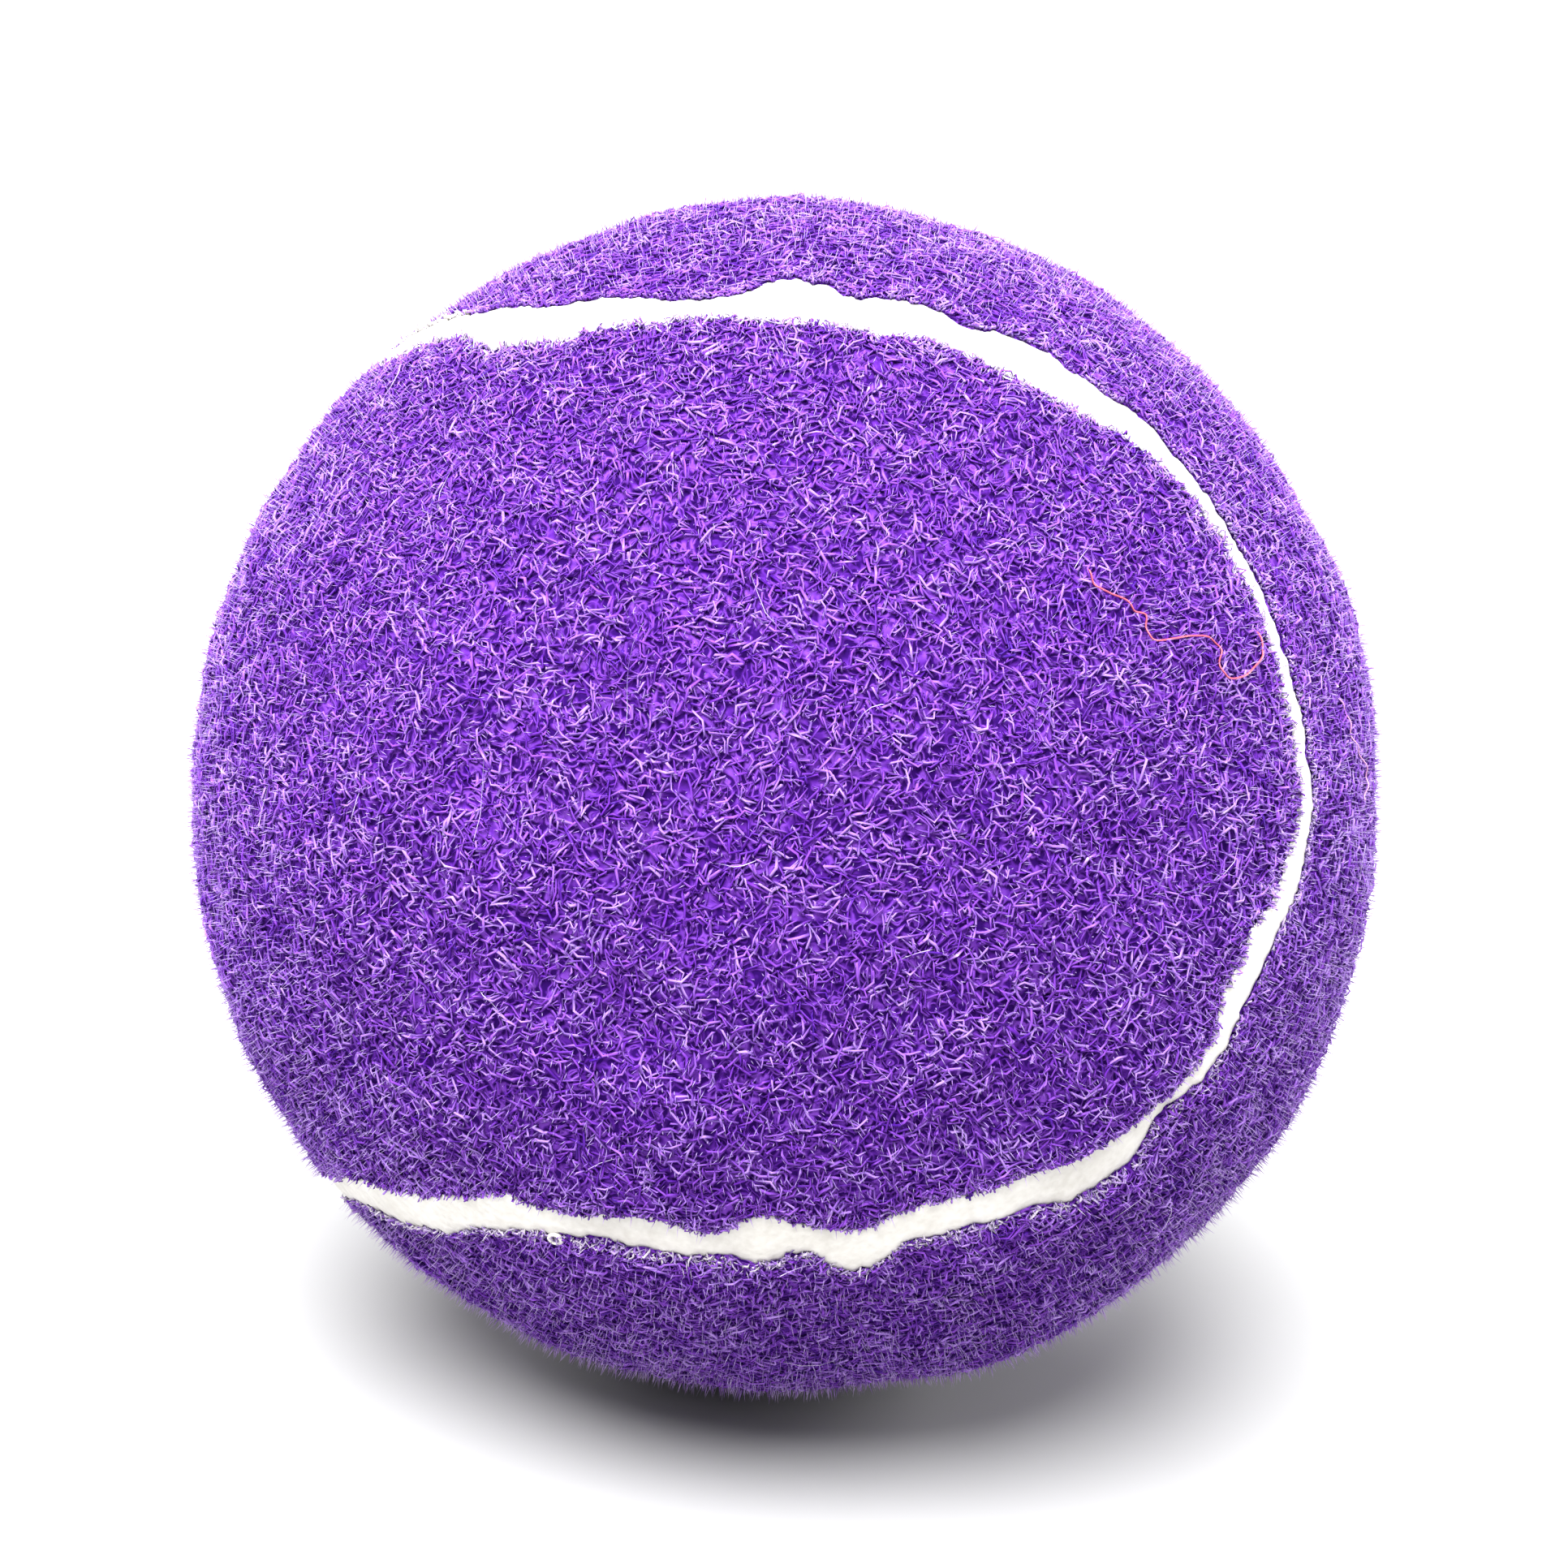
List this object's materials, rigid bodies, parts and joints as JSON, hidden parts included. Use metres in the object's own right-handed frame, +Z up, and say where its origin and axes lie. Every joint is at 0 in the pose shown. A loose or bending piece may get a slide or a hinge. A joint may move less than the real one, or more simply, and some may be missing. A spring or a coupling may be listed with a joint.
{
  "type": "tennis ball",
  "caption": "Hollow bonded rubber ball covered with interlocking dog-bone felt panels and a recessed pale rubber seam, for racket play.",
  "frame": {"origin": "centre of the ball", "axes": "+Z up as the ball lies, +X through the middles of both felt panels' waists, +Y away from the viewer"},
  "size_m": [0.067, 0.067, 0.067],
  "materials": {
    "core_rubber": "matt moulded rubber",
    "cement": "dried rubber cement",
    "felt": "napped purple felt",
    "seam_rubber": "satin cream rubber"
  },
  "bodies": {
    "root": {"core_half_upper": "core_rubber", "core_half_lower": "core_rubber", "core_bond_ring": "cement", "cement_film_a": "cement", "cement_film_b": "cement", "felt_panel_a": "felt", "felt_panel_b": "felt", "seam_strip": "seam_rubber"}
  },
  "joints": []
}
